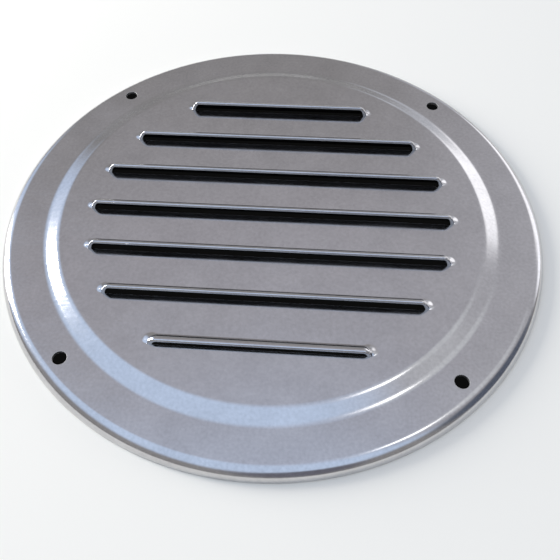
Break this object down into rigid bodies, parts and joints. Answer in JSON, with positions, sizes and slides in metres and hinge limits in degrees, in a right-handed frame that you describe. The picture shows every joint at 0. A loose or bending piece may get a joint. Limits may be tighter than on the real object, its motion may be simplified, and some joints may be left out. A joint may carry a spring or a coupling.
{
  "type": "round vent cover",
  "caption": "Round pressed steel vent cover: flat rim with screw holes and a turned-down edge, rounded step ring and raised face of parallel louvre hoods that shed water and pass air.",
  "frame": {"origin": "centre of the plane that the turned-down edge stands on", "axes": "+Z out of the face, away from the wall; +X along the louvres; -Y the way the louvre mouths look, which is down on a wall"},
  "size_m": [0.127, 0.127, 0.0065],
  "materials": {
    "polished_steel": "polished"
  },
  "bodies": {
    "root": {"vent_cover": "polished_steel"}
  },
  "joints": []
}
